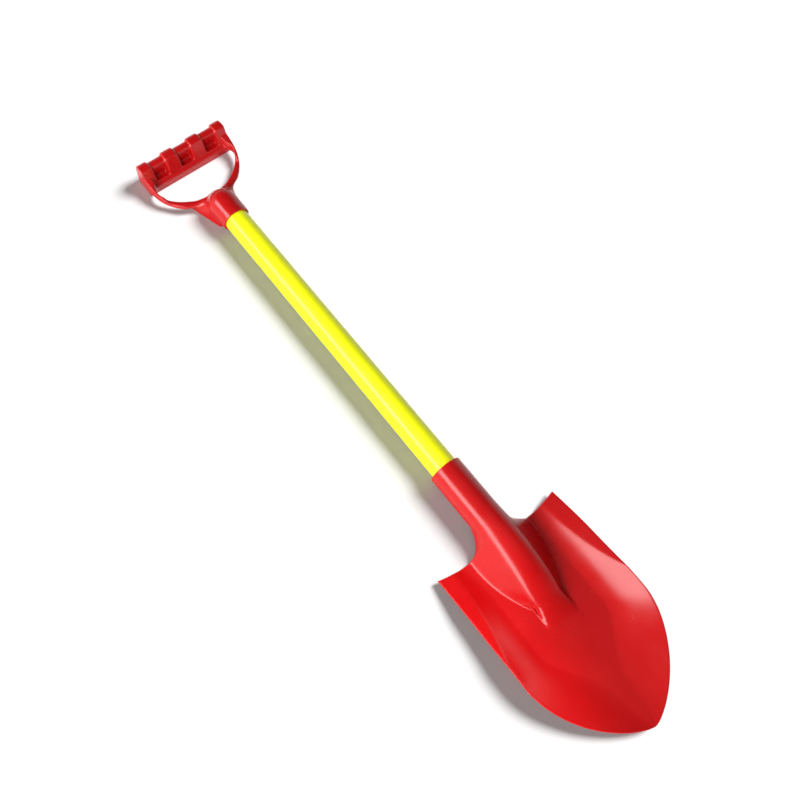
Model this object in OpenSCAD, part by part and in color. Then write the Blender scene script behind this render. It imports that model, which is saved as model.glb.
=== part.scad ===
// Toy sand shovel with a hand grip at one end and a dished, pointed blade at the other.
// It lies on its back on the ground: +X runs from the grip to the blade's point, +Z is up.
// All lengths are in millimetres and all angles in degrees.

/* [Overall] */
// Length from the grip's outer ridges to the blade's point
overall_length = 600; // [560:1:640]
// Which piece is shown

/* [Shaft] */
// Outside diameter of the coloured sleeve
shaft_d = 22; // [20:0.5:24]
// Wall of the coloured sleeve
sleeve_wall = 0.8; // [0.6:0.1:1.4]
// Radial gap between the wooden core and the sleeve
core_clearance = 0.05; // [0.05:0.05:0.2]
// Radial gap between the sleeve and the two sockets
socket_clearance = 0.15; // [0.1:0.05:0.3]
// Length of shaft held inside the blade's socket
blade_insert = 40; // [30:1:41]
// Length of shaft held inside the grip's socket
grip_insert = 26; // [20:1:28]

/* [Blade] */
// Length from the shoulder points to the blade's point
blade_length = 160; // [150:1:170]
// Width across the blade where it is widest
blade_w = 115; // [105:1:125]
// Width across the shoulder points
shoulder_w = 113; // [104:1:115]
// Wall of the moulded blade
blade_wall = 2.4; // [2:0.1:3]
// Height of the side edges above the floor where they stand highest
side_rise = 16.3; // [12:0.1:20]
// Length over which the side walls start further out near the shoulders
wall_start_l = 35; // [25:1:45]
// Width of the flatter lip along the side walls at the shoulders
lip_w = 12.5; // [9:0.5:14]
// Length of the lip from the shoulders to where it runs out
lip_l = 74; // [64:1:82]
// Rounding between a side wall and its lip
lip_round = 1; // [0.5:0.1:1.5]
// Rise of the floor towards the point
point_rise = 6.5; // [2:0.5:7]
// Depth of the hollow curve between a shoulder point and the neck
shoulder_dip = 3.5; // [2:0.5:5]
// Length along the shaft of the curve from the socket out to the shoulders
neck_flare_l = 19; // [16:0.5:22]
// Width of the curve from the socket out to the shoulders
neck_flare_w = 16.2; // [14:0.2:18]

/* [Blade socket] */
// Outside diameter of the blade's socket
socket_d = 27; // [25.5:0.5:28]
// Length from the socket's rim to the shoulder points
socket_l = 60; // [56:1:66]
// Solid end behind the shaft inside the blade's socket
socket_end = 3; // [2:0.5:4]

/* [Ridge on the blade] */
// Length of the raised ridge from the end of the socket to where it fades out
ridge_l = 94; // [84:1:100]
// Half the width of the ridge's top at the socket
ridge_top_near = 9.2; // [8.5:0.1:10.5]
// Half the width of the ridge's top where it fades out
ridge_top_far = 13; // [11:0.1:14]
// Width of the sloping flank at the shoulders
ridge_flank_w = 18; // [16:0.2:20]
// Least width of the sloping flank
ridge_flank_min = 1.6; // [1.2:0.1:2.4]
// Length of the sloping flank from the shoulder line
ridge_flank_l = 55; // [48:1:60]
// Rounding of the two crests beside the ridge's top
crest_round = 1.5; // [1:0.1:2]
// How far the ridge stands over the socket where they join
ridge_step = 0.35; // [0.25:0.05:0.6]

/* [Grip] */
// Width across the grip
grip_w = 89; // [84:1:98]
// Height of the ring's back above the back of the hand bar
ring_lift = 4.4; // [3.5:0.1:5]
// Thickness of the flat ring
ring_t = 5.3; // [4.6:0.1:6]
// Length from the outer edge to the middle of the ring's round end
ring_centre = 22.5; // [21:0.5:24]
// Depth of the hand bar from its outer edge to the finger gap
bar_depth = 22.5; // [21:0.5:25]
// Height of the hand bar's ridges above the grip's back
bar_h = 26; // [24:0.5:28]
// Depth of the hand bar's top, from its outer edge to where its side starts to slope
bar_top_l = 13; // [12.5:0.5:14]
// Height of the upright edge below the sloping side
bar_edge_h = 3; // [2:0.5:4]
// How far the radius of the finger gap's round end is over half the grip's width
gap_spread = 1.3; // [0.5:0.1:2]
// Length from the outer edge to the middle of the finger gap's round end
gap_centre = 12.5; // [11.5:0.5:13.5]
// Thickness of the ring at its thinnest, beside the finger gap
ring_side = 3.5; // [3:0.1:4.5]
// Corner radius of the finger gap
gap_corner = 6; // [5:0.5:8]
// Corner radius of the ring beside the outer ridges
grip_corner = 3; // [2:0.5:4]

/* [Hand bar] */
// Width of the two outermost ridges
outer_ridge_w = 9.75; // [8:0.25:11]
// Width of a finger groove
groove_w = 15.5; // [14:0.5:17]
// Depth of a finger groove on the outer edge
groove_dip = 1.6; // [1:0.1:2.2]
// Depth of a finger groove on the front
groove_front = 1.5; // [1:0.1:2.5]
// Length from the outer edge to the pockets in the sloping side
pocket_start = 12; // [11.5:0.25:12.5]
// Depth of the pockets' openings towards the finger gap
pocket_l = 6.5; // [5:0.5:7]
// Width of the pockets
pocket_w = 13; // [11:0.5:14]
// Height of the pockets' floor above the grip's back
pocket_floor = 10; // [8:0.5:11]
// Height above the grip's back at which the ring's arms meet the hand bar
arm_h = 19; // [16:0.5:20]
// Length from the outer edge to where the arms are down to the ring's thickness
arm_end = 50; // [44:1:54]
// Radius of the hand bar's front edges on the ridges
ridge_round = 7; // [6:0.5:8]
// Radius of the hand bar's front edges in the grooves
groove_round = 6.5; // [5:0.5:7]
// Wall round the hollow in the back of the hand bar, and under the pockets
bar_wall = 3; // [2.5:0.1:3.5]
// Thickness of the ribs across the hollow
rib_t = 2; // [1.6:0.1:2.6]

/* [Grip socket] */
// Length from the outer edge to the rim of the grip's socket
grip_rim = 98; // [96:0.5:102]
// Outside diameter of the grip's socket at its rim
grip_rim_d = 26; // [25:0.2:27]
// Diameter of the grip's socket where its top starts to fall towards the ring
grip_bend_d = 27.6; // [27:0.2:28.6]
// Length from the outer edge to where the socket's top starts to fall
grip_bend_x = 76; // [75:0.5:78]
// Diameter of the socket's sloping end at the finger gap
grip_nose_d = 16; // [14:0.5:18]
// How far the sloping end's middle lies below the shaft's axis at the finger gap
grip_nose_drop = 13; // [12:0.25:13.5]
// Half the width of the web where it leaves the ring
web_half_w = 22.5; // [20:0.1:24]
// Length from the outer edge to the start of the web
web_start = 54.5; // [53:0.5:56]
// Length from the outer edge to the end of the web
web_end = 88; // [86:0.5:90]
// Half the width of the web at its end
web_end_half_w = 12.5; // [11:0.5:13]
// How far each side of the web leans in from its back to its top
web_lean = 7; // [5:0.5:9]
// How much higher the web's top is beside the socket than at the ring
web_rise = 9; // [6:0.5:11]

/* [Fixing screws] */
// Diameter of the screws
screw_d = 2.9; // [2.5:0.1:3.3]
// Length of the screws over the head
screw_l = 13; // [11:0.5:15]
// Diameter of the screw heads
screw_head_d = 6.2; // [5.6:0.1:6.6]
// Height of the screw heads
screw_head_h = 1.7; // [1.4:0.1:1.8]
// Length of the screw points
screw_tip_l = 3; // [2:0.5:4]
// Radial gap round the screws
screw_clearance = 0.1; // [0.05:0.05:0.15]
// How deep the screw heads lie below the back of the sockets
screw_sink = 0.3; // [0.2:0.1:0.5]
// Length of a slot in the screw heads
slot_l = 3.6; // [3:0.1:4]
// Width of a slot in the screw heads
slot_w = 0.8; // [0.6:0.1:1]
// Depth of a slot in the screw heads
slot_depth = 0.9; // [0.7:0.1:1.1]
// Distance from the blade socket's rim to its screw
blade_screw_in = 18; // [14:1:22]
// Distance from the grip socket's rim to its screw
grip_screw_in = 11; // [9:0.5:13]

/* [Hidden] */

// Round faces are drawn with this many sides
round_sides = 96;
small_sides = 32;

// The shaft's axis lies at height zero while the pieces are drawn
shaft_r = shaft_d / 2;
bore_r = shaft_r + socket_clearance;
core_r = shaft_r - sleeve_wall - core_clearance;
socket_r = socket_d / 2;

// The floor's underside and the backs of the hand bar and the web lie on the ground
socket_lift = 0.3;
ground = socket_r + socket_lift;
floor_top = blade_wall - ground;

// How far the blade's skin runs back inside the socket's wall, and how far inside it starts
neck_reach = 9;
neck_inset = 0.6;

// Stations along the shaft, from the grip's outer edge
tip_x = overall_length;
shoulder_x = tip_x - blade_length;
rim_x = shoulder_x - socket_l;
shaft_end_x = rim_x + blade_insert;
shaft_start_x = grip_rim - grip_insert;
dip_x = shoulder_x + shoulder_dip;
flare_x = dip_x - neck_flare_l;
socket_end_x = shaft_end_x + socket_clearance + socket_end;
socket_tube_x = max(flare_x, socket_end_x) + neck_inset;
ridge_start_x = flare_x - neck_reach;

// Blade outline: straight sides, then a rounded point
half_w = blade_w / 2;
high_share = 0.47;
side_share = 0.56;
point_power = 1.85;
point_fullness = 0.7;
function share_along(x) = (x - shoulder_x) / blade_length;
function point_share(x) = min(1, max(0, (share_along(x) - side_share) / (1 - side_share)));
shoulder_half = shoulder_w / 2;
function side_half(x) =
    let (s = min(1, max(0, share_along(x) / high_share)))
    shoulder_half + (half_w - shoulder_half) * sin(90 * s);
function blade_half(x) = side_half(x) * pow(1 - pow(point_share(x), point_power), point_fullness);

// Front line of the blade, from the middle of the neck out to a shoulder point
flare_end_y = socket_r + neck_flare_w;
wing_w = shoulder_half - flare_end_y;
neck_in = socket_r - neck_inset;
function flare_share(a) = min(1, max(0, (a - socket_r) / neck_flare_w));
function front_x(a) =
    a < neck_in ? ridge_start_x :
    a < flare_end_y ? flare_x + neck_flare_l * sqrt(1 - pow(1 - flare_share(a), 2)) :
    dip_x - shoulder_dip * pow((a - flare_end_y) / wing_w, 2);

// How much a crease is lowered near itself when its edge is rounded
function rounding(turn, distance, radius) = max(0, turn) / 2 * (norm([distance, radius]) - abs(distance));

// Floor and side walls of the blade, with a flatter lip along the walls near the shoulders
wall_start_share = 0.53;
shoulder_start_share = 0.635;
point_start_share = 0.15;
point_from_share = 0.5;
point_to_share = 0.8;
wall_power = 1.5;
fall_power = 2.1;
lift_share = 0.72;
lip_power = 2.2;
lip_slope_near = 0.1;
lip_slope_far = 0.3;
function wall_near(x) = min(1, max(0, (x - shoulder_x) / wall_start_l));
function smooth_share(v) = let (t = min(1, max(0, v))) t * t * (3 - 2 * t);
function scoop_share(x) =
    smooth_share((share_along(x) - point_from_share) / (point_to_share - point_from_share));
function start_share(x) =
    wall_start_share + (shoulder_start_share - wall_start_share) * pow(1 - wall_near(x), 2)
    - (wall_start_share - point_start_share) * scoop_share(x);
function wall_run(x) = 1 - min(start_share(x), wall_start_share);
function rise_at(s) = side_rise * (1 - pow(min(1, max(0, (s - high_share) / (1 - high_share))), fall_power));
function lip_at(x) = lip_w * (1 - pow(min(1, max(0, (x - shoulder_x) / lip_l)), lip_power));
function lip_slope(x) = lip_slope_near + (lip_slope_far - lip_slope_near) * wall_near(x);
function run_share(x, q) = max(0, q - start_share(x)) / wall_run(x);
function floor_lift(s) = point_rise * pow(max(0, (s - lift_share) / (1 - lift_share)), 2);
least_half = blade_wall / 100;
function dish_z(x, y) =
    let (s = share_along(x), w = max(blade_half(x), least_half), rise = rise_at(s), lip = lip_at(x))
    let (q = min(1, abs(y) / w), edge = 1 - lip / w, edge_run = run_share(x, edge), beyond = (q - edge) * w)
    let (edge_slope = rise * wall_power * pow(edge_run, wall_power - 1) / (wall_run(x) * w))
    let (wall = beyond < 0 ? rise * pow(run_share(x, q), wall_power)
        : rise * pow(edge_run, wall_power) + lip_slope(x) * beyond)
    let (soft = lip_round * min(1, lip / (lip_w / 3)))
    floor_top + floor_lift(s) + wall - rounding(edge_slope - lip_slope(x), beyond, soft);

// Ridge that carries the socket on into the blade and fades into its floor
ridge_r = socket_r + ridge_step;
ridge_near_z = sqrt(pow(ridge_r, 2) - pow(ridge_top_near, 2));
ridge_h = ridge_near_z - floor_top;
ridge_crown = ridge_r - ridge_near_z;
ridge_power = 2.75;
ridge_fall = 2;
crown_power = 3.5;
crest_power = 0.9;
flank_power = 2.2;
fade_slope = 0.6;
tube_side_slope = 6;
function ridge_along(x) = (x - flare_x) / ridge_l;
function ridge_share(x) = min(1, max(0, ridge_along(x)));
function ridge_top(x) = ridge_top_near + (ridge_top_far - ridge_top_near) * pow(ridge_share(x), crest_power);
function flank_share(x) = min(1, max(0, (x - dip_x) / ridge_flank_l));
function flank_w(x) = max(ridge_flank_min, ridge_flank_w * (1 - pow(flank_share(x), flank_power)));
function ridge_level(x) = ridge_h * pow(1 - pow(ridge_share(x), ridge_power), ridge_fall);
function crown_level(x) = ridge_crown * (1 - pow(ridge_share(x), crown_power));
// Height over the floor of the fold with its arched top and sloping flanks
function fold_over(x, a) =
    let (top = ridge_top(x), level = ridge_level(x), crown = crown_level(x))
    let (flank_slope = max(level, ridge_flank_min) / flank_w(x))
    (a < top ? level + crown * (1 - pow(a / top, 2)) : level - flank_slope * (a - top))
    - rounding(flank_slope - 2 * crown / top, a - top, crest_round);
// Height over the floor of the socket's round top, run on with steep sides
function tube_over(a) =
    a < ridge_r ? sqrt(pow(ridge_r, 2) - pow(a, 2)) - floor_top
    : -floor_top - tube_side_slope * (a - ridge_r);
// The round top turns into the fold along the neck; past its end the ridge runs on below the floor
function ridge_over(x, a) =
    ridge_along(x) > 1 ? -fade_slope * ridge_h * (ridge_along(x) - 1) :
    let (w = smooth_share((x - flare_x) / neck_flare_l))
    tube_over(a) * (1 - w) + fold_over(x, a) * w;
// Ahead of the socket's end the ridge sinks into the socket's wall
sink_depth = ridge_step + (socket_r - bore_r) / 2;
function sink_at(x) = sink_depth * max(0, (flare_x - x) / (flare_x - ridge_start_x));
// The ridge's foot is rounded into the floor, less so as the ridge fades
foot_round = 2.4;
foot_round_far = 0.4;
function foot_k(x) = foot_round_far + (foot_round - foot_round_far) * (1 - ridge_share(x));
function skin_z(x, y) =
    let (a = dish_z(x, y))
    let (b = floor_top + ridge_over(x, abs(y)) - sink_at(x))
    (a + b + sqrt(pow(a - b, 2) + pow(foot_k(x), 2))) / 2;

// Height of the skin's underside, so that the wall keeps its thickness on slopes
probe = blade_wall / 8;
most_slope = 2;
function slope_at(x, y) =
    norm([(skin_z(x + probe, y) - skin_z(x - probe, y)) / (2 * probe),
          (skin_z(x, y + probe) - skin_z(x, y - probe)) / (2 * probe)]);
function under_z(x, y) =
    let (m = min(most_slope, slope_at(x, y)))
    max(-ground, skin_z(x, y) - blade_wall * sqrt(1 + m * m));

// Columns across the blade, closer together round the neck
neck_cols = 7;
flare_cols = 8;
mid_cols = 3;
wing_cols = 9;
half_cols = neck_cols + flare_cols + mid_cols + wing_cols;
cols = 2 * half_cols + 1;
mid_y = (flare_end_y + neck_in) / 2;
neck_turn = asin(neck_in / ridge_r);
function col_y(k) =
    k < neck_cols ? ridge_r * sin(neck_turn * k / neck_cols) :
    k == neck_cols ? neck_in :
    k <= neck_cols + flare_cols ? neck_in + (mid_y - neck_in) * (k - neck_cols) / flare_cols :
    k <= neck_cols + flare_cols + mid_cols
    ? mid_y + (flare_end_y - mid_y) * (k - neck_cols - flare_cols) / mid_cols
    : flare_end_y + wing_w * (k - neck_cols - flare_cols - mid_cols) / wing_cols;
function col_u(j) = let (k = j - half_cols) sign(k) * col_y(abs(k)) / shoulder_half;

// Rows along the blade, closer together at the point
rows = 36;
row_power = 1.35;
function row_v(i) = 1 - pow(1 - i / rows, row_power);
function grid_x(i, j) =
    let (x0 = front_x(abs(col_u(j)) * shoulder_half))
    x0 + (tip_x - x0) * row_v(i);

top_points = [for (i = [0:rows - 1]) for (j = [0:cols - 1])
    let (x = grid_x(i, j), y = col_u(j) * blade_half(x)) [x, y, skin_z(x, y)]];
under_points = [for (i = [0:rows - 1]) for (j = [0:cols - 1])
    let (x = grid_x(i, j), y = col_u(j) * blade_half(x)) [x, y, under_z(x, y)]];
tip_z = floor_top + point_rise;
tip_points = [[tip_x, 0, tip_z], [tip_x, 0, tip_z - blade_wall]];
skin_points = concat(top_points, under_points, tip_points);
grid_n = rows * cols;
tip_top = 2 * grid_n;
tip_under = tip_top + 1;
function at(i, j) = i * cols + j;

top_faces = [for (i = [0:rows - 2]) for (j = [0:cols - 2]) each [
    [at(i, j), at(i, j + 1), at(i + 1, j + 1)],
    [at(i, j), at(i + 1, j + 1), at(i + 1, j)]]];
under_faces = [for (f = top_faces) [f[0] + grid_n, f[2] + grid_n, f[1] + grid_n]];
tip_faces = [for (j = [0:cols - 2]) each [
    [at(rows - 1, j), at(rows - 1, j + 1), tip_top],
    [at(rows - 1, j) + grid_n, tip_under, at(rows - 1, j + 1) + grid_n]]];
front_faces = [for (j = [0:cols - 2]) each [
    [at(0, j), at(0, j) + grid_n, at(0, j + 1) + grid_n],
    [at(0, j), at(0, j + 1) + grid_n, at(0, j + 1)]]];
left_faces = [for (i = [0:rows - 2]) each [
    [at(i, 0), at(i + 1, 0), at(i + 1, 0) + grid_n],
    [at(i, 0), at(i + 1, 0) + grid_n, at(i, 0) + grid_n]]];
right_faces = [for (i = [0:rows - 2]) each [
    [at(i, cols - 1), at(i + 1, cols - 1) + grid_n, at(i + 1, cols - 1)],
    [at(i, cols - 1), at(i, cols - 1) + grid_n, at(i + 1, cols - 1) + grid_n]]];
point_faces = [
    [at(rows - 1, 0), tip_top, tip_under],
    [at(rows - 1, 0), tip_under, at(rows - 1, 0) + grid_n],
    [at(rows - 1, cols - 1), tip_under, tip_top],
    [at(rows - 1, cols - 1), at(rows - 1, cols - 1) + grid_n, tip_under]];
skin_faces = concat(top_faces, under_faces, tip_faces, front_faces, left_faces, right_faces, point_faces);

// Grip: sizes that follow from the named ones
grip_half = grip_w / 2;
gap_half = grip_half - ring_side;
gap_r = grip_half + gap_spread;
groove_pitch = grip_half - outer_ridge_w - groove_w / 2;
back = -ground;
ring_back = back + ring_lift;
ring_top = ring_back + ring_t;
grip_rim_r = grip_rim_d / 2;
grip_bend_r = grip_bend_d / 2;
nose_run = grip_bend_x - gap_centre - gap_r;
nose_l = norm([nose_run, grip_nose_drop]);
nose_turn = atan2(grip_nose_drop, nose_run);
rib_places = [-1.5, -0.5, 0.5, 1.5];
groove_places = [-1, 0, 1];

// Screws stand upright, heads down, in the backs of the sockets
screw_back = screw_sink - socket_r;
blade_screw_x = rim_x + blade_screw_in;
grip_screw_x = grip_rim - grip_screw_in;
screw_r = screw_d / 2;
screw_head_r = screw_head_d / 2;

module along_x(r, x0, x1) {
    translate([x0, 0, 0]) rotate([0, 90, 0]) cylinder(h = x1 - x0, r = r, $fn = round_sides);
}

// Space for a screw in the socket wall, the sleeve and the core
module screw_space(x) {
    translate([x, 0, screw_back]) {
        cylinder(h = screw_head_h + screw_clearance, r1 = screw_head_r + 2 * screw_clearance,
            r2 = screw_r + screw_clearance, $fn = small_sides);
        cylinder(h = screw_l + screw_clearance, r = screw_r + screw_clearance, $fn = small_sides);
        translate([0, 0, -ground])
            cylinder(h = ground, r = screw_head_r + 2 * screw_clearance, $fn = small_sides);
    }
}

module blade() {
    color([0.85, 0.10, 0.12])
    difference() {
        union() {
            polyhedron(points = skin_points, faces = skin_faces, convexity = 8);
            along_x(socket_r, rim_x, socket_tube_x);
        }
        along_x(bore_r, rim_x - socket_end, shaft_end_x + socket_clearance);
        screw_space(blade_screw_x);
    }
}

// Outline of the ring behind the hand bar, seen from the front
module ring_outline() {
    union() {
        translate([grip_corner, -grip_half]) square([ring_centre - grip_corner, grip_w]);
        translate([groove_dip, grip_corner - grip_half]) square([grip_corner, grip_w - 2 * grip_corner]);
        for (side = [-1, 1])
            translate([groove_dip + grip_corner, side * (grip_half - grip_corner)])
                circle(r = grip_corner, $fn = small_sides);
        intersection() {
            translate([ring_centre, 0]) circle(r = grip_half, $fn = round_sides);
            translate([ring_centre, -grip_half]) square([grip_half, grip_w]);
        }
    }
}

// Web between the ring and the socket, wide at the back and narrower at the top
module web() {
    corners = [[web_start, web_half_w, ring_top], [web_end, web_end_half_w, ring_top + web_rise]];
    polyhedron(
        points = [for (up = [0, 1]) for (c = corners) for (side = [-1, 1])
            [c[0], side * (c[1] - up * web_lean), back + up * (c[2] - back)]],
        faces = [[0, 2, 3, 1], [4, 5, 7, 6], [0, 4, 6, 2], [1, 3, 7, 5], [0, 1, 5, 4], [2, 6, 7, 3]]);
}

module gap_outline() {
    intersection() {
        translate([gap_centre, 0]) circle(r = gap_r, $fn = round_sides);
        union() {
            translate([bar_depth + gap_corner, -gap_half]) square([grip_half, 2 * gap_half]);
            translate([bar_depth, gap_corner - gap_half])
                square([grip_half, 2 * gap_half - 2 * gap_corner]);
            for (side = [-1, 1])
                translate([bar_depth + gap_corner, side * (gap_half - gap_corner)])
                    circle(r = gap_corner, $fn = small_sides);
        }
    }
}

// Outline of the hand bar seen from its end: round at the outer edge, sloping at the finger gap
module bar_outline(x0, h, r) {
    translate([x0, 0]) square([r, h - r]);
    translate([x0 + r, h - r]) circle(r = r, $fn = round_sides);
    polygon([[x0 + r, 0], [bar_depth, 0], [bar_depth, bar_edge_h], [bar_top_l, h], [x0 + r, h]]);
}

module across_y(y0, y1) {
    translate([0, y1, back]) rotate([90, 0, 0]) linear_extrude(height = y1 - y0) children();
}

// Arms of the ring beside the hand bar, sloping down from the bar to the ring's thickness
module arms() {
    intersection() {
        translate([0, 0, ring_back]) linear_extrude(height = bar_h) difference() {
            ring_outline();
            gap_outline();
        }
        for (side = [0, 1]) mirror([0, side, 0])
            translate([0, grip_half, 0]) rotate([90, 0, 0]) linear_extrude(height = ring_side + gap_corner / 2)
                polygon([[bar_top_l, ring_back], [arm_end, ring_back],
                    [arm_end, ring_top], [bar_top_l, back + arm_h]]);
    }
}

// Hand bar with its ridges, and the pockets that lie in line with the finger grooves
module hand_bar() {
    difference() {
        union() {
            across_y(grip_corner - grip_half, grip_half - grip_corner)
                bar_outline(groove_dip, bar_h - groove_front, groove_round);
            for (k = groove_places) {
                if (k < 1)
                    across_y(k * groove_pitch + groove_w / 2, (k + 1) * groove_pitch - groove_w / 2)
                        bar_outline(0, bar_h, ridge_round);
            }
            for (side = [0, 1]) mirror([0, side, 0])
                across_y(groove_pitch + groove_w / 2, grip_half) bar_outline(0, bar_h, ridge_round);
        }
        for (k = groove_places)
            translate([pocket_start, k * groove_pitch - pocket_w / 2, back + pocket_floor])
                cube([pocket_l, pocket_w, bar_h]);
    }
}

module bar_hollow() {
    x0 = groove_dip + bar_wall;
    x1 = bar_depth - 2 * bar_wall;
    y1 = grip_half - bar_wall;
    difference() {
        translate([x0, -y1, back - ring_t])
            cube([x1 - x0, 2 * y1, pocket_floor - bar_wall + ring_t]);
        for (k = rib_places)
            translate([0, k * groove_pitch - rib_t / 2, back - ring_t])
                cube([bar_depth, rib_t, bar_h + ring_t]);
    }
}

// Outside of the grip's socket: a slim cone that bends down to the ring, cut flat at the back
module grip_tube() {
    intersection() {
        translate([grip_bend_x, 0, 0]) union() {
            sphere(r = grip_bend_r, $fn = round_sides);
            rotate([0, 90, 0])
                cylinder(h = grip_rim - grip_bend_x, r1 = grip_bend_r, r2 = grip_rim_r, $fn = round_sides);
            rotate([0, -90 - nose_turn, 0])
                cylinder(h = nose_l, r1 = grip_bend_r, r2 = grip_nose_d / 2, $fn = round_sides);
        }
        translate([0, -grip_half, -ground]) cube([grip_rim + grip_half, grip_w, grip_w]);
    }
}

module grip() {
    color([0.85, 0.10, 0.12])
    difference() {
        union() {
            translate([0, 0, ring_back]) linear_extrude(height = ring_t) difference() {
                ring_outline();
                gap_outline();
            }
            difference() {
                union() {
                    web();
                    grip_tube();
                }
                translate([0, 0, -grip_half]) linear_extrude(height = grip_w) gap_outline();
            }
            arms();
            hand_bar();
        }
        along_x(bore_r, shaft_start_x - socket_clearance, grip_rim + grip_insert);
        bar_hollow();
        screw_space(grip_screw_x);
    }
}

module shaft_sleeve() {
    color([0.90, 0.95, 0.10])
    difference() {
        along_x(shaft_r, shaft_start_x, shaft_end_x);
        along_x(core_r + core_clearance, shaft_start_x - sleeve_wall, shaft_end_x + sleeve_wall);
        screw_space(blade_screw_x);
        screw_space(grip_screw_x);
    }
}

module shaft_core() {
    color([0.80, 0.62, 0.40])
    difference() {
        along_x(core_r, shaft_start_x, shaft_end_x);
        screw_space(blade_screw_x);
        screw_space(grip_screw_x);
    }
}

module screw(x) {
    translate([x, 0, screw_back])
    difference() {
        union() {
            cylinder(h = screw_head_h, r1 = screw_head_r, r2 = screw_r, $fn = small_sides);
            cylinder(h = screw_l - screw_tip_l, r = screw_r, $fn = small_sides);
            translate([0, 0, screw_l - screw_tip_l])
                cylinder(h = screw_tip_l, r1 = screw_r, r2 = 0, $fn = small_sides);
        }
        for (turn = [0, 90]) rotate([0, 0, turn])
            translate([-slot_l / 2, -slot_w / 2, -slot_depth]) cube([slot_l, slot_w, 2 * slot_depth]);
    }
}

module fixing_screws() {
    color([0.75, 0.76, 0.78]) {
        screw(blade_screw_x);
        screw(grip_screw_x);
    }
}

// The row's origin lies on the ground under the middle of the shovel's length
translate([-overall_length / 2, 0, ground]) {
    blade();
    grip();
    shaft_sleeve();
    shaft_core();
    fixing_screws();
}
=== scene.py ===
import math

import bmesh
import bpy
from mathutils import Matrix, Vector


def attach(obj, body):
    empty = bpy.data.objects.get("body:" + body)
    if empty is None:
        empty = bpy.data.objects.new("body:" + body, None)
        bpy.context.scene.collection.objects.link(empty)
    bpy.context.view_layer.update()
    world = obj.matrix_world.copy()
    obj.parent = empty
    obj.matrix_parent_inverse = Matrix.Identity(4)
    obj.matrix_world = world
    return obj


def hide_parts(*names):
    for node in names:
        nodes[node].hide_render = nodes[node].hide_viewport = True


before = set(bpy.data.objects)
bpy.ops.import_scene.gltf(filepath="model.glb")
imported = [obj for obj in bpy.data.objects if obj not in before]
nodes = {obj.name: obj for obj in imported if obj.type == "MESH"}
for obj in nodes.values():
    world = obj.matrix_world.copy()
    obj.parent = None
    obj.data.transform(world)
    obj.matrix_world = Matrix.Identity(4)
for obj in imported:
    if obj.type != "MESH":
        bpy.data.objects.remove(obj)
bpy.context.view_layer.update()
scene = bpy.context.scene

# Sizes of the shovel in millimetres, along the shaft from the grip's outer edge
MM = 0.001
HALF_LENGTH = 300.0
TIP_X = 600.0
SHOULDER_X = 440.0
BLADE_LENGTH = 160.0
GROUND = 13.8
WALL = 2.4
FLOOR_TOP = WALL - GROUND

# Socket of the blade
SOCKET_R = 13.5
SOCKET_RIM_X = 380.0
BORE_R = 11.15
BORE_END_X = 420.15
SOCKET_TAPER_LENGTH = 3.0
SOCKET_TAPER = 0.15
AXIS_R = 0.01
SOCKET_EASE = 0.7
SOCKET_EASE_MIDDLE = 0.35
SOCKET_EASE_START = 0.1

# Hole for the blade's screw in the back of the socket
BLADE_SCREW_X = 398.0
SCREW_HOLE_R = 3.3
SCREW_HOLE_SIDES = 48
SCREW_CUT_LENGTH = 6.0
SCREW_FLAT_Z = -13.2
SCREW_CUT_OVER = 1.0

# Outline of the blade
SHOULDER_HALF = 56.5
WIDEST_HALF = 57.5
WIDEST_SHARE = 0.47
POINT_SHARE = 0.56
POINT_POWER = 1.85
POINT_FULLNESS = 0.7
SHOULDER_DIP = 3.5
FLARE_LENGTH = 19.0
FLARE_WIDTH = 16.2
DIP_X = SHOULDER_X + SHOULDER_DIP
FLARE_X = DIP_X - FLARE_LENGTH
FLARE_END_Y = SOCKET_R + FLARE_WIDTH
NECK_INSET = 0.6
NECK_LENGTH = 9.0
NECK_SINK = 1.3
NECK_Y = SOCKET_R - NECK_INSET
NECK_X = FLARE_X - NECK_LENGTH
TIP_HALF = 0.02

# Rise of the side walls and of the point over the floor
SIDE_RISE = 16.3
POINT_RISE = 6.5
WALL_START_SHARE = 0.53
SHOULDER_START_SHARE = 0.635
START_LENGTH = 35.0
POINT_START_SHARE = 0.15
POINT_START_FROM = 0.5
POINT_START_TO = 0.8
WALL_POWER = 1.5
FALL_POWER = 2.1
LIFT_SHARE = 0.72

# Flatter lip along the side walls, widest at the shoulders
LIP_WIDTH = 12.5
LIP_LENGTH = 74.0
LIP_POWER = 2.2
LIP_SLOPE_NEAR = 0.1
LIP_SLOPE = 0.3
LIP_ROUND = 1.0
LIP_FULL_ROUND_WIDTH = 4.0

# Ridge that carries the socket into the blade
RIDGE_R = SOCKET_R + 0.1
RIDGE_LENGTH = 94.0
RIDGE_NEAR = 9.2
RIDGE_FAR = 13.0
CREST_POWER = 0.9
CREST_ROUND = 1.5
FLANK_WIDTH = 18.0
FLANK_LEAST = 1.6
FLANK_LENGTH = 55.0
FLANK_POWER = 2.2
RIDGE_POWER = 2.75
RIDGE_FALL = 2.0
CROWN_POWER = 3.5
RIDGE_NEAR_Z = math.sqrt(RIDGE_R ** 2 - RIDGE_NEAR ** 2)
RIDGE_HEIGHT = RIDGE_NEAR_Z - FLOOR_TOP
CROWN_HEIGHT = RIDGE_R - RIDGE_NEAR_Z
FADE_SLOPE = 0.6
TUBE_SIDE_SLOPE = 6.0
FOOT_ROUND = 2.2
FOOT_ROUND_FAR = 0.5

# Rounding of the blade's rim
RIM_ROUND = 0.95
RIM_WIDTH = 1.0
RIM_STEPS = (0.38, 0.71, 0.92, 1.0)
FRONT_STEPS = (0.0, 0.08, 0.29, 0.62, 1.0)
INNER_LEAST_SHARE = 0.88

# Steps over which slopes are measured, and the steepest slope that thickens the wall
SLOPE_STEP = 0.3
EDGE_STEP = 0.05
STEEPEST = 2.0

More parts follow.
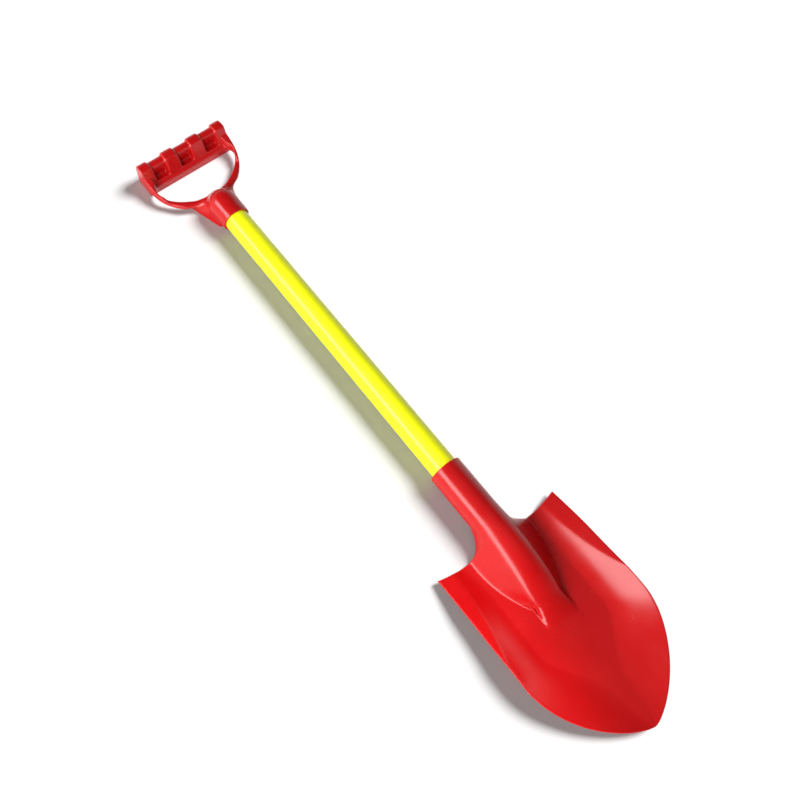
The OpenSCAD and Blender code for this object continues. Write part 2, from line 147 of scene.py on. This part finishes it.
# Distances under which points are merged, in metres, and angles that stay smooth, in degrees
MERGE = 0.00001
CAD_MERGE = 0.000002
BLADE_SMOOTH = 40.0
SOCKET_SMOOTH = 35.0


def clamp(value):
    """A value kept between 0 and 1."""
    return max(0.0, min(1.0, value))


def smooth_step(value):
    """An even rise from 0 to 1 without a crease at either end."""
    t = clamp(value)
    return t * t * (3.0 - 2.0 * t)


def share_along(x):
    """How far along the blade a place is, 0 at the shoulders and 1 at the point."""
    return (x - SHOULDER_X) / BLADE_LENGTH


def half_width(x):
    """Half the blade's width at a place along the shaft."""
    s = share_along(x)
    swell = math.sin(math.pi / 2 * clamp(s / WIDEST_SHARE))
    side = SHOULDER_HALF + (WIDEST_HALF - SHOULDER_HALF) * swell
    point = clamp((s - POINT_SHARE) / (1.0 - POINT_SHARE))
    return side * max(0.0, 1.0 - point ** POINT_POWER) ** POINT_FULLNESS


def front_line(a):
    """Where the blade begins, at a distance from its middle line."""
    if a <= NECK_Y:
        return NECK_X
    if a < FLARE_END_Y:
        t = clamp((a - SOCKET_R) / FLARE_WIDTH)
        return FLARE_X + FLARE_LENGTH * math.sqrt(1.0 - (1.0 - t) ** 2)
    wing = (a - FLARE_END_Y) / (SHOULDER_HALF - FLARE_END_Y)
    return DIP_X - SHOULDER_DIP * wing ** 2


def rounding(turn, distance, radius):
    """How much a crease is lowered or raised near itself when its edge is rounded."""
    return max(0.0, turn) / 2.0 * (math.hypot(distance, radius) - abs(distance))


def dish_height(x, y):
    """The floor with the side walls that rise from it and their flatter lips."""
    s = share_along(x)
    half = max(half_width(x), TIP_HALF)
    near = clamp((x - SHOULDER_X) / START_LENGTH)
    start = WALL_START_SHARE + (SHOULDER_START_SHARE - WALL_START_SHARE) * (1.0 - near) ** 2
    scoop = smooth_step((s - POINT_START_FROM) / (POINT_START_TO - POINT_START_FROM))
    start -= (WALL_START_SHARE - POINT_START_SHARE) * scoop
    rise = SIDE_RISE * (1.0 - clamp((s - WIDEST_SHARE) / (1.0 - WIDEST_SHARE)) ** FALL_POWER)
    lip = LIP_WIDTH * (1.0 - clamp((x - SHOULDER_X) / LIP_LENGTH) ** LIP_POWER)
    lip_slope = LIP_SLOPE_NEAR + (LIP_SLOPE - LIP_SLOPE_NEAR) * near
    run = 1.0 - min(start, WALL_START_SHARE)
    q = clamp(abs(y) / half)
    edge = 1.0 - lip / half
    edge_run = max(0.0, edge - start) / run
    edge_slope = rise * WALL_POWER * edge_run ** (WALL_POWER - 1.0) / (run * half)
    beyond = (q - edge) * half
    if beyond < 0.0:
        wall = rise * (max(0.0, q - start) / run) ** WALL_POWER
    else:
        wall = rise * edge_run ** WALL_POWER + lip_slope * beyond
    lip_round = LIP_ROUND * min(1.0, lip / LIP_FULL_ROUND_WIDTH)
    wall -= rounding(edge_slope - lip_slope, beyond, lip_round)
    lift = POINT_RISE * max(0.0, (s - LIFT_SHARE) / (1.0 - LIFT_SHARE)) ** 2
    return FLOOR_TOP + lift + wall


def ridge_height(x, y):
    """The ridge: a half tube at the socket that widens into an arched fold and fades out."""
    a = abs(y)
    along = (x - FLARE_X) / RIDGE_LENGTH
    if along > 1.0:
        return FLOOR_TOP - FADE_SLOPE * RIDGE_HEIGHT * (along - 1.0)
    t = clamp(along)
    top = RIDGE_NEAR + (RIDGE_FAR - RIDGE_NEAR) * t ** CREST_POWER
    level = RIDGE_HEIGHT * (1.0 - t ** RIDGE_POWER) ** RIDGE_FALL
    crown = CROWN_HEIGHT * (1.0 - t ** CROWN_POWER)
    flank = max(FLANK_LEAST, FLANK_WIDTH * (1.0 - clamp((x - DIP_X) / FLANK_LENGTH) ** FLANK_POWER))
    flank_slope = max(level, FLANK_LEAST) / flank
    if a < top:
        fold = level + crown * (1.0 - (a / top) ** 2)
    else:
        fold = level - flank_slope * (a - top)
    fold -= rounding(flank_slope - 2.0 * crown / top, a - top, CREST_ROUND)
    if a < RIDGE_R:
        tube = math.sqrt(RIDGE_R ** 2 - a ** 2) - FLOOR_TOP
    else:
        tube = -FLOOR_TOP - TUBE_SIDE_SLOPE * (a - RIDGE_R)
    w = smooth_step((x - FLARE_X) / FLARE_LENGTH)
    sink = NECK_SINK * max(0.0, (FLARE_X - x) / (FLARE_X - NECK_X))
    return FLOOR_TOP + tube + (fold - tube) * w - sink


def skin_height(x, y):
    """Height of the blade's upper face."""
    dish = dish_height(x, y)
    ridge = ridge_height(x, y)
    k = FOOT_ROUND_FAR + (FOOT_ROUND - FOOT_ROUND_FAR) * (1.0 - clamp((x - FLARE_X) / RIDGE_LENGTH))
    return (dish + ridge + math.sqrt((dish - ridge) ** 2 + k ** 2)) / 2.0


def under_height(x, y):
    """Height of the blade's lower face, so that its wall is equally thick on slopes."""
    e = SLOPE_STEP
    slope_x = (skin_height(x + e, y) - skin_height(x - e, y)) / (2.0 * e)
    slope_y = (skin_height(x, y + e) - skin_height(x, y - e)) / (2.0 * e)
    slope = min(STEEPEST, math.hypot(slope_x, slope_y))
    return max(-GROUND, skin_height(x, y) - WALL * math.sqrt(1.0 + slope * slope))


def deselect():
    """Selects nothing."""
    bpy.ops.object.select_all(action="DESELECT")


def only(piece):
    """Makes one piece the selected and active one."""
    deselect()
    piece.select_set(True)
    bpy.context.view_layer.objects.active = piece


def apply_all(piece):
    """Applies every modifier and the place of a piece."""
    only(piece)
    for modifier in list(piece.modifiers):
        bpy.ops.object.modifier_apply(modifier=modifier.name)
    bpy.ops.object.transform_apply(location=True, rotation=True, scale=True)


def to_row(x, y, z):
    """A place in millimetres from the grip's outer edge and the shaft's axis, in the row's metres."""
    return Vector(((x - HALF_LENGTH) * MM, y * MM, (z + GROUND) * MM))


# Columns across half the blade and rows along it
NECK_COLUMNS = 12
FLARE_COLUMNS = 22
MID_COLUMNS = 12
WING_COLUMNS = 24
INNER_COLUMNS = NECK_COLUMNS + FLARE_COLUMNS + MID_COLUMNS + WING_COLUMNS
HALF_COLUMNS = INNER_COLUMNS + len(RIM_STEPS)
MID_Y = 22.0
BLADE_ROWS = 168
ROW_POWER = 1.35


def column_y(k):
    """Distance of a column from the middle line at the shoulders."""
    if k <= NECK_COLUMNS:
        return NECK_Y * k / NECK_COLUMNS
    k -= NECK_COLUMNS
    if k <= FLARE_COLUMNS:
        return NECK_Y + (MID_Y - NECK_Y) * k / FLARE_COLUMNS
    k -= FLARE_COLUMNS
    if k <= MID_COLUMNS:
        return MID_Y + (FLARE_END_Y - MID_Y) * k / MID_COLUMNS
    k -= MID_COLUMNS
    return FLARE_END_Y + (SHOULDER_HALF - RIM_WIDTH - FLARE_END_Y) * k / WING_COLUMNS


def blade_point(column, row):
    """Place of one grid point: x, y and how far round the rim it lies, from 0 to 1."""
    k = abs(column)
    inner_half = SHOULDER_HALF - RIM_WIDTH
    inner_share = column_y(min(k, INNER_COLUMNS)) / inner_half
    rim = 0.0 if k <= INNER_COLUMNS else RIM_STEPS[k - INNER_COLUMNS - 1]
    x0 = front_line(column_y(k) if k <= INNER_COLUMNS else SHOULDER_HALF - RIM_WIDTH * (1.0 - rim))
    if row <= len(RIM_STEPS):
        front = 1.0 - FRONT_STEPS[row]
        x = x0 + RIM_WIDTH * FRONT_STEPS[row]
    else:
        front = 0.0
        v = (row - len(RIM_STEPS)) / (BLADE_ROWS - len(RIM_STEPS))
        start = x0 + RIM_WIDTH
        x = start + (TIP_X - start) * (1.0 - (1.0 - v) ** ROW_POWER)
    half = half_width(x)
    slope = (half_width(x - EDGE_STEP) - half_width(min(TIP_X, x + EDGE_STEP))) / (2.0 * EDGE_STEP)
    inner = max(half * INNER_LEAST_SHARE, half - RIM_WIDTH * math.sqrt(1.0 + slope * slope))
    y = inner * inner_share + (half - inner) * rim
    tip = clamp(1.0 - (TIP_X - x) / RIM_WIDTH)
    turn = min(1.0, math.sqrt(rim ** 2 + front ** 2 + tip ** 2))
    return x, math.copysign(y, column) if column else 0.0, turn


def make_blade_skin():
    """The blade's shell: two grids shaped to its faces and bridged along the rim."""
    deselect()
    bpy.ops.mesh.primitive_grid_add(x_subdivisions=2 * HALF_COLUMNS, y_subdivisions=BLADE_ROWS, size=2.0)
    skin = bpy.context.object
    skin.name = "blade_skin"
    bpy.ops.object.mode_set(mode="EDIT")
    bpy.ops.mesh.duplicate()
    bpy.ops.transform.translate(value=(0.0, 0.0, -1.0))
    mesh = bmesh.from_edit_mesh(skin.data)
    for v in mesh.verts:
        column = round(v.co.x * HALF_COLUMNS)
        row = round((v.co.y + 1.0) / 2.0 * BLADE_ROWS)
        x, y, turn = blade_point(column, row)
        drop = RIM_ROUND * (1.0 - math.sqrt(max(0.0, 1.0 - turn * turn)))
        if v.co.z > -0.5:
            z = skin_height(x, y) - drop
        else:
            z = under_height(x, y) + drop
        v.co = to_row(x, y, z)
    bmesh.update_edit_mesh(skin.data)
    bpy.ops.mesh.select_mode(type="EDGE")
    bpy.ops.mesh.select_all(action="DESELECT")
    mesh = bmesh.from_edit_mesh(skin.data)
    for edge in mesh.edges:
        edge.select_set(edge.is_boundary)
    bmesh.update_edit_mesh(skin.data)
    bpy.ops.mesh.bridge_edge_loops()
    bpy.ops.mesh.select_all(action="SELECT")
    bpy.ops.mesh.remove_doubles(threshold=MERGE)
    bpy.ops.mesh.normals_make_consistent(inside=False)
    bpy.ops.object.mode_set(mode="OBJECT")
    bpy.ops.object.shade_smooth_by_angle(angle=math.radians(BLADE_SMOOTH))
    return skin


def lathe(name, outline, steps=128):
    """A closed round piece on the shaft's axis, turned from (x, radius) corners."""
    deselect()
    bpy.ops.mesh.primitive_circle_add(vertices=len(outline), radius=1.0)
    piece = bpy.context.object
    piece.name = name
    bpy.ops.object.mode_set(mode="EDIT")
    mesh = bmesh.from_edit_mesh(piece.data)
    mesh.verts.ensure_lookup_table()
    for v, (x, r) in zip(mesh.verts, outline):
        v.co = to_row(x, 0.0, r)
    bmesh.update_edit_mesh(piece.data)
    bpy.ops.mesh.select_all(action="SELECT")
    bpy.ops.mesh.spin(steps=steps, angle=2.0 * math.pi, center=to_row(0.0, 0.0, 0.0),
                      axis=(1.0, 0.0, 0.0))
    bpy.ops.mesh.select_all(action="SELECT")
    bpy.ops.mesh.remove_doubles(threshold=MERGE)
    bpy.ops.mesh.normals_make_consistent(inside=False)
    bpy.ops.object.mode_set(mode="OBJECT")
    return piece


def cut(piece, cutter):
    """Takes a cutter away from a piece."""
    modifier = piece.modifiers.new("cut", "BOOLEAN")
    modifier.operation = "DIFFERENCE"
    modifier.solver = "EXACT"
    modifier.object = cutter
    only(piece)
    bpy.ops.object.modifier_apply(modifier=modifier.name)
    bpy.data.objects.remove(cutter)


def make_socket():
    """The blade's socket with rounded rims and its closed end."""
    outline = [
        (SOCKET_RIM_X, BORE_R + SOCKET_EASE_MIDDLE),
        (SOCKET_RIM_X, SOCKET_R - SOCKET_EASE),
        (SOCKET_RIM_X + SOCKET_EASE_START, SOCKET_R - SOCKET_EASE_MIDDLE),
        (SOCKET_RIM_X + SOCKET_EASE_MIDDLE, SOCKET_R - SOCKET_EASE_START),
        (SOCKET_RIM_X + SOCKET_EASE, SOCKET_R),
        (FLARE_X - SOCKET_TAPER_LENGTH, SOCKET_R),
        (FLARE_X, SOCKET_R - SOCKET_TAPER),
        (FLARE_X, AXIS_R),
        (BORE_END_X, AXIS_R),
        (BORE_END_X, BORE_R),
        (SOCKET_RIM_X + SOCKET_EASE_MIDDLE, BORE_R)]
    socket = lathe("blade_socket", outline)
    deselect()
    cut_place = to_row(BLADE_SCREW_X, 0.0, SCREW_FLAT_Z - SCREW_CUT_OVER)
    bpy.ops.mesh.primitive_cylinder_add(vertices=SCREW_HOLE_SIDES, radius=SCREW_HOLE_R * MM,
                                        depth=SCREW_CUT_LENGTH * MM, location=cut_place)
    cutter = bpy.context.object
    cut(socket, cutter)
    only(socket)
    bpy.ops.object.shade_smooth_by_angle(angle=math.radians(SOCKET_SMOOTH))
    return socket


def make_blade():
    """The blade's shell and its socket joined into one piece."""
    skin = make_blade_skin()
    socket = make_socket()
    deselect()
    socket.select_set(True)
    skin.select_set(True)
    bpy.context.view_layer.objects.active = skin
    bpy.ops.object.join()
    skin.name = "dressed_blade"
    return skin


# The grip's mould-soft edges: its evened mesh is smoothed, most of all where its forms run together
VOXEL = 0.0007
GRIP_RIM_X = 98.0
CRISP_LENGTH = 4.0
EDGE_STEPS = 7
ARM_STEPS = 36
WEB_STEPS = 180
SOFTEN_FACTOR = 0.5
BLEND_LENGTH = 8.0
ARMS_FROM = 19.0
ARMS_TO = 60.0
WEB_FROM = 52.0
WEB_HALF = 30.0
BORE_FROM = 70.0
BORE_MARGIN = 0.8
BACK_BAND = 0.6


def arm_share(x):
    """How much the ring's arms are blended into the hand bar."""
    return smooth_step((x - ARMS_FROM) / BLEND_LENGTH) * smooth_step((ARMS_TO - x) / BLEND_LENGTH)


def web_share(x, y):
    """How much the web and the socket's round end are blended, less towards the socket's rim."""
    to_rim = smooth_step((GRIP_RIM_X - CRISP_LENGTH - x) / BLEND_LENGTH)
    from_gap = smooth_step((x - WEB_FROM) / BLEND_LENGTH)
    to_side = smooth_step((WEB_HALF - abs(y)) / BLEND_LENGTH)
    return to_rim * from_gap * to_side


def make_grip():
    """The grip with its edges softened as a mould leaves them."""
    grip = nodes["grip"].copy()
    grip.data = nodes["grip"].data.copy()
    grip.name = "dressed_grip"
    scene.collection.objects.link(grip)
    grip.parent = None
    grip.matrix_world = Matrix.Identity(4)
    grip.hide_render = False
    only(grip)
    bpy.ops.object.mode_set(mode="EDIT")
    bpy.ops.mesh.select_all(action="SELECT")
    bpy.ops.mesh.remove_doubles(threshold=CAD_MERGE)
    bpy.ops.object.mode_set(mode="OBJECT")
    remesh = grip.modifiers.new("even", "REMESH")
    remesh.mode = "VOXEL"
    remesh.voxel_size = VOXEL
    remesh.use_smooth_shade = True
    apply_all(grip)
    arms = grip.vertex_groups.new(name="arms")
    web = grip.vertex_groups.new(name="web")
    for v in grip.data.vertices:
        x = v.co.x / MM + HALF_LENGTH
        radial = math.hypot(v.co.y / MM, v.co.z / MM - GROUND)
        inside = x > BORE_FROM and radial < BORE_R + BORE_MARGIN
        back = v.co.z < BACK_BAND * MM
        kept = inside or back
        arms.add([v.index], 0.0 if kept else arm_share(x), "REPLACE")
        web.add([v.index], 0.0 if kept else web_share(x, v.co.y / MM), "REPLACE")
    rounds = (("edges", EDGE_STEPS, ""), ("arms", ARM_STEPS, "arms"), ("web", WEB_STEPS, "web"))
    for name, steps, group in rounds:
        soften = grip.modifiers.new(name, "SMOOTH")
        soften.factor = SOFTEN_FACTOR
        soften.iterations = steps
        soften.vertex_group = group
    apply_all(grip)
    grip.vertex_groups.clear()
    bpy.ops.object.shade_smooth()
    return grip


def empty_tree(owner):
    """The node tree of a material or a world, without any nodes."""
    owner.use_nodes = True
    tree = owner.node_tree
    for node in list(tree.nodes):
        tree.nodes.remove(node)
    return tree


def combine(tree, operation, first, second):
    """One sum of two values, each a number or another node's output."""
    node = tree.nodes.new("ShaderNodeMath")
    node.operation = operation
    for socket, value in zip(node.inputs, (first, second)):
        if isinstance(value, float):
            socket.default_value = value
        else:
            tree.links.new(value, socket)
    return node.outputs["Value"]


def new_material(name):
    """A material with one shader, ready for its colour, gloss and relief."""
    material = bpy.data.materials.new(name)
    tree = empty_tree(material)
    out = tree.nodes.new("ShaderNodeOutputMaterial")
    shader = tree.nodes.new("ShaderNodeBsdfPrincipled")
    tree.links.new(shader.outputs["BSDF"], out.inputs["Surface"])
    return material, tree, shader


def coordinates(tree, scale=(1.0, 1.0, 1.0)):
    """Places on the piece in its own metres, stretched by a scale."""
    place = tree.nodes.new("ShaderNodeTexCoord")
    mapping = tree.nodes.new("ShaderNodeMapping")
    mapping.inputs["Scale"].default_value = scale
    tree.links.new(place.outputs["Object"], mapping.inputs["Vector"])
    return mapping.outputs["Vector"]


def noise(tree, vector, scale, detail, roughness):
    """Soft clouds or fine grain, depending on the scale."""
    node = tree.nodes.new("ShaderNodeTexNoise")
    node.inputs["Scale"].default_value = scale
    node.inputs["Detail"].default_value = detail
    node.inputs["Roughness"].default_value = roughness
    tree.links.new(vector, node.inputs["Vector"])
    return node.outputs["Fac"]


def ramp(tree, value, stops):
    """Colours along a value."""
    node = tree.nodes.new("ShaderNodeValToRGB")
    elements = node.color_ramp.elements
    elements[0].position = stops[0][0]
    elements[0].color = stops[0][1]
    elements[1].position = stops[-1][0]
    elements[1].color = stops[-1][1]
    for position, colour in stops[1:-1]:
        element = elements.new(position)
        element.color = colour
    tree.links.new(value, node.inputs["Fac"])
    return node.outputs["Color"]


def spread(tree, value, low, high, low_in=0.3, high_in=0.7, curve="LINEAR"):
    """A value moved from one range to another."""
    node = tree.nodes.new("ShaderNodeMapRange")
    node.interpolation_type = curve
    node.inputs["From Min"].default_value = low_in
    node.inputs["From Max"].default_value = high_in
    node.inputs["To Min"].default_value = low
    node.inputs["To Max"].default_value = high
    tree.links.new(value, node.inputs["Value"])
    return node.outputs["Result"]


def bump(tree, height, strength, distance, normal=None):
    """Relief from a value, over other relief if there is some."""
    node = tree.nodes.new("ShaderNodeBump")
    node.inputs["Strength"].default_value = strength
    node.inputs["Distance"].default_value = distance
    tree.links.new(height, node.inputs["Height"])
    if normal is not None:
        tree.links.new(normal, node.inputs["Normal"])
    return node.outputs["Normal"]


# Finishes: shades from light to deep, and the ends of the roughness
RED_SHADES = ((0.54, 0.004, 0.005, 1.0), (0.52, 0.003, 0.004, 1.0), (0.50, 0.002, 0.003, 1.0))
RED_ROUGHNESS = (0.21, 0.29)
YELLOW_SHADES = ((0.93, 0.96, 0.006, 1.0), (0.90, 0.94, 0.005, 1.0), (0.87, 0.92, 0.004, 1.0))
YELLOW_ROUGHNESS = (0.22, 0.30)
PLASTIC_IOR = 1.47
PLASTIC_COAT = 0.05
COAT_ROUGHNESS = 0.12
WOOD_SHADES = ((0.74, 0.55, 0.33, 1.0), (0.62, 0.42, 0.22, 1.0), (0.42, 0.25, 0.11, 1.0))
STEEL_SHADES = ((0.62, 0.63, 0.64, 1.0), (0.42, 0.43, 0.44, 1.0))


def moulded_plastic(name, shades, roughness):
    """Glossy moulded plastic: faint flow clouds, fine grain and a slightly uneven gloss."""
    material, tree, shader = new_material(name)
    where = coordinates(tree)
    clouds = noise(tree, where, 22.0, 3.0, 0.6)
    light, middle, deep = shades
    shade = ramp(tree, clouds, [(0.34, deep), (0.5, middle), (0.68, light)])
    tree.links.new(shade, shader.inputs["Base Color"])
    haze = noise(tree, where, 60.0, 4.0, 0.6)
    tree.links.new(spread(tree, haze, *roughness), shader.inputs["Roughness"])
    grain = noise(tree, where, 1100.0, 2.0, 0.5)
    waves = noise(tree, where, 140.0, 2.0, 0.5)
    fine = bump(tree, grain, 0.03, 0.0001)
    tree.links.new(bump(tree, waves, 0.05, 0.0006, fine), shader.inputs["Normal"])
    shader.inputs["IOR"].default_value = PLASTIC_IOR
    shader.inputs["Coat Weight"].default_value = PLASTIC_COAT
    shader.inputs["Coat Roughness"].default_value = COAT_ROUGHNESS
    return material


def turned_wood(name):
    """Bare wood with its grain along the shaft."""
    material, tree, shader = new_material(name)
    where = coordinates(tree, (8.0, 120.0, 120.0))
    grain = noise(tree, where, 4.0, 6.0, 0.65)
    light, middle, deep = WOOD_SHADES
    shade = ramp(tree, grain, [(0.3, deep), (0.5, middle), (0.72, light)])
    tree.links.new(shade, shader.inputs["Base Color"])
    tree.links.new(spread(tree, grain, 0.55, 0.75), shader.inputs["Roughness"])
    tree.links.new(bump(tree, grain, 0.4, 0.0004), shader.inputs["Normal"])
    return material


def plated_steel(name):
    """Plated steel with fine scratches round each screw."""
    material, tree, shader = new_material(name)
    where = coordinates(tree)
    clouds = noise(tree, where, 400.0, 4.0, 0.6)
    light, deep = STEEL_SHADES
    shade = ramp(tree, clouds, [(0.3, deep), (0.7, light)])
    tree.links.new(shade, shader.inputs["Base Color"])
    tree.links.new(spread(tree, clouds, 0.25, 0.42), shader.inputs["Roughness"])
    scratches = noise(tree, coordinates(tree, (1.0, 14.0, 1.0)), 900.0, 3.0, 0.6)
    tree.links.new(bump(tree, scratches, 0.15, 0.0001), shader.inputs["Normal"])
    shader.inputs["Metallic"].default_value = 1.0
    return material


red_plastic = moulded_plastic("red_plastic", RED_SHADES, RED_ROUGHNESS)
yellow_plastic = moulded_plastic("yellow_plastic", YELLOW_SHADES, YELLOW_ROUGHNESS)
core_wood = turned_wood("core_wood")
screw_steel = plated_steel("screw_steel")


def dress(piece, material):
    """Gives a piece one material in all its slots."""
    if not piece.data.materials:
        piece.data.materials.append(material)
    for slot in piece.material_slots:
        slot.link = "OBJECT"
        slot.material = material


blade = make_blade()
dress(blade, red_plastic)
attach(blade, "root")
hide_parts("blade")

grip = make_grip()
dress(grip, red_plastic)
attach(grip, "root")
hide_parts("grip")

dress(nodes["shaft_sleeve"], yellow_plastic)
dress(nodes["shaft_core"], core_wood)
dress(nodes["fixing_screws"], screw_steel)

# Floor: seen directly or in a reflection its shade is lifted to white, and it keeps the shadow
FLOOR_SIZE = 60.0
FLOOR_SHADE = 0.7
FLOOR_LIFT = 0.16

# World: a pale room, white at the horizon and dimmer overhead, with less light from its right side
HORIZON_LEVEL = 1.0
CEILING_LEVEL = 0.10
HORIZON_TO = 0.07
CEILING_FROM = 0.6
LEFT_SIDE_LOSS = 0.2
RIGHT_SIDE_LOSS = 0.68
LEFT_SIDE_TO = -0.1
RIGHT_SIDE_FROM = 0.5


def white_floor(name):
    """Matt white with a lift that only eyes and reflections see."""
    material = bpy.data.materials.new(name)
    tree = empty_tree(material)
    out = tree.nodes.new("ShaderNodeOutputMaterial")
    paper = tree.nodes.new("ShaderNodeBsdfDiffuse")
    paper.inputs["Color"].default_value = (FLOOR_SHADE, FLOOR_SHADE, FLOOR_SHADE, 1.0)
    lift = tree.nodes.new("ShaderNodeEmission")
    rays = tree.nodes.new("ShaderNodeLightPath")
    seen = combine(tree, "MAXIMUM", rays.outputs["Is Camera Ray"], rays.outputs["Is Glossy Ray"])
    seen = combine(tree, "MAXIMUM", seen, rays.outputs["Is Transmission Ray"])
    tree.links.new(combine(tree, "MULTIPLY", seen, FLOOR_LIFT), lift.inputs["Strength"])
    both = tree.nodes.new("ShaderNodeAddShader")
    tree.links.new(paper.outputs["BSDF"], both.inputs[0])
    tree.links.new(lift.outputs["Emission"], both.inputs[1])
    tree.links.new(both.outputs["Shader"], out.inputs["Surface"])
    return material


def soft_room(name):
    """White at the horizon, dimmer overhead, and a weaker light on the shovel from the right."""
    world = bpy.data.worlds.new(name)
    tree = empty_tree(world)
    out = tree.nodes.new("ShaderNodeOutputWorld")
    room = tree.nodes.new("ShaderNodeBackground")
    room.inputs["Color"].default_value = (1.0, 1.0, 1.0, 1.0)
    direction = tree.nodes.new("ShaderNodeTexCoord")
    parts = tree.nodes.new("ShaderNodeSeparateXYZ")
    tree.links.new(direction.outputs["Generated"], parts.inputs["Vector"])
    rays = tree.nodes.new("ShaderNodeLightPath")
    fade = spread(tree, parts.outputs["Z"], HORIZON_LEVEL, CEILING_LEVEL, HORIZON_TO, CEILING_FROM,
                  "SMOOTHSTEP")
    side = spread(tree, parts.outputs["Y"], LEFT_SIDE_LOSS, RIGHT_SIDE_LOSS, LEFT_SIDE_TO,
                  RIGHT_SIDE_FROM, "SMOOTHSTEP")
    loss = combine(tree, "MULTIPLY", side, rays.outputs["Is Diffuse Ray"])
    kept = combine(tree, "SUBTRACT", 1.0, loss)
    tree.links.new(combine(tree, "MULTIPLY", fade, kept), room.inputs["Strength"])
    tree.links.new(room.outputs["Background"], out.inputs["Surface"])
    return world


deselect()
bpy.ops.mesh.primitive_plane_add(size=FLOOR_SIZE)
floor = bpy.context.object
floor.name = "floor"
floor.data.materials.append(white_floor("floor_white"))
scene.world = soft_room("soft_room")

# The lamps that model the shovel leave the floor alone, and one lamp lights only the floor
floor_only = bpy.data.collections.new("floor_only")
floor_only.objects.link(floor)
all_but_floor = bpy.data.collections.new("all_but_floor")
all_but_floor.objects.link(floor)
all_but_floor.collection_objects[0].light_linking.link_state = "EXCLUDE"
shaft_only = bpy.data.collections.new("shaft_only")
shaft_only.objects.link(nodes["shaft_sleeve"])


def aim_lamp(lamp, place, target):
    """Puts a lamp in its place, facing a target, its width along the shaft."""
    back = (Vector(place) - Vector(target)).normalized()
    side = Vector((1.0, 0.0, 0.0))
    side = (side - back * side.dot(back)).normalized()
    up = back.cross(side)
    turn = Matrix((side, up, back)).transposed().to_4x4()
    lamp.matrix_world = Matrix.Translation(place) @ turn


def place_lamp(name, data, place, target, receivers):
    """Sets up a lamp that lights only what a collection names."""
    lamp = bpy.data.objects.new(name, data)
    scene.collection.objects.link(lamp)
    aim_lamp(lamp, place, target)
    lamp.light_linking.receiver_collection = receivers
    return lamp


def softbox(name, place, target, width, height, power, receivers):
    """A rectangular lamp."""
    data = bpy.data.lights.new(name, "AREA")
    data.shape = "RECTANGLE"
    data.size = width
    data.size_y = height
    data.energy = power
    lamp = place_lamp(name, data, place, target, receivers)
    lamp.visible_camera = False
    return lamp


MIDDLE = (0.0, 0.0, 0.0)
softbox("left_softbox", (0.0, -0.80, 0.61), MIDDLE, 1.8, 0.42, 18.5, all_but_floor)
top_fill = softbox("top_fill", (0.0, 0.0, 1.6), MIDDLE, 2.0, 2.0, 7.0, all_but_floor)
top_fill.visible_glossy = False
shaft_fill = softbox("shaft_fill", (-0.1, -0.3, 1.0), (-0.05, 0.0, 0.02), 1.0, 0.6, 2.6, shaft_only)
shaft_fill.visible_glossy = False

# A soft spot on the blade's left wall, stretched along the shaft
WALL_LIGHT_PLACE = (0.205, 0.298, 0.499)
WALL_LIGHT_TARGET = (0.208, -0.070, 0.008)
WALL_LIGHT_STRETCH = 2.2
wall_data = bpy.data.lights.new("wall_light", "SPOT")
wall_data.energy = 14.5
wall_data.spot_size = math.radians(12.0)
wall_data.spot_blend = 1.0
wall_data.shadow_soft_size = 0.02
wall_lamp = place_lamp("wall_light", wall_data, WALL_LIGHT_PLACE, WALL_LIGHT_TARGET, all_but_floor)
wall_lamp.matrix_world = wall_lamp.matrix_world @ Matrix.Diagonal((WALL_LIGHT_STRETCH, 1.0, 1.0, 1.0))
wall_lamp.visible_glossy = False

# The light that draws the shovel's shadow
shadow_data = bpy.data.lights.new("floor_light", "SUN")
shadow_data.energy = 4.7
shadow_data.angle = math.radians(24.0)
place_lamp("floor_light", shadow_data, (0.20, 0.85, 1.0), MIDDLE, floor_only)

# Camera at the photograph's place: it looks at AIM, turned by TURN about that line
EYE = Vector((0.21922, -0.22159, 0.74337))
AIM = Vector((0.16425 - 0.3, 0.01506, GROUND * MM))
TURN = -0.56775
LENS = 44.26
SENSOR_WIDTH = 36.0
SHIFT_X = 0.1315
SHIFT_Y = -0.1715
CLIP_START = 0.01
CLIP_END = 50.0
camera_data = bpy.data.cameras.new("camera")
camera = bpy.data.objects.new("camera", camera_data)
scene.collection.objects.link(camera)
forward = (AIM - EYE).normalized()
across = Vector((0.0, 1.0, 0.0))
across = (across - forward * across.dot(forward)).normalized()
down = forward.cross(across)
right = across * math.cos(TURN) - down * math.sin(TURN)
up = -(across * math.sin(TURN) + down * math.cos(TURN))
camera.matrix_world = Matrix.Translation(EYE) @ Matrix((right, up, -forward)).transposed().to_4x4()
camera_data.sensor_width = SENSOR_WIDTH
camera_data.lens = LENS
camera_data.shift_x = SHIFT_X
camera_data.shift_y = SHIFT_Y
camera_data.clip_start = CLIP_START
camera_data.clip_end = CLIP_END
scene.camera = camera

scene.view_settings.view_transform = "Standard"
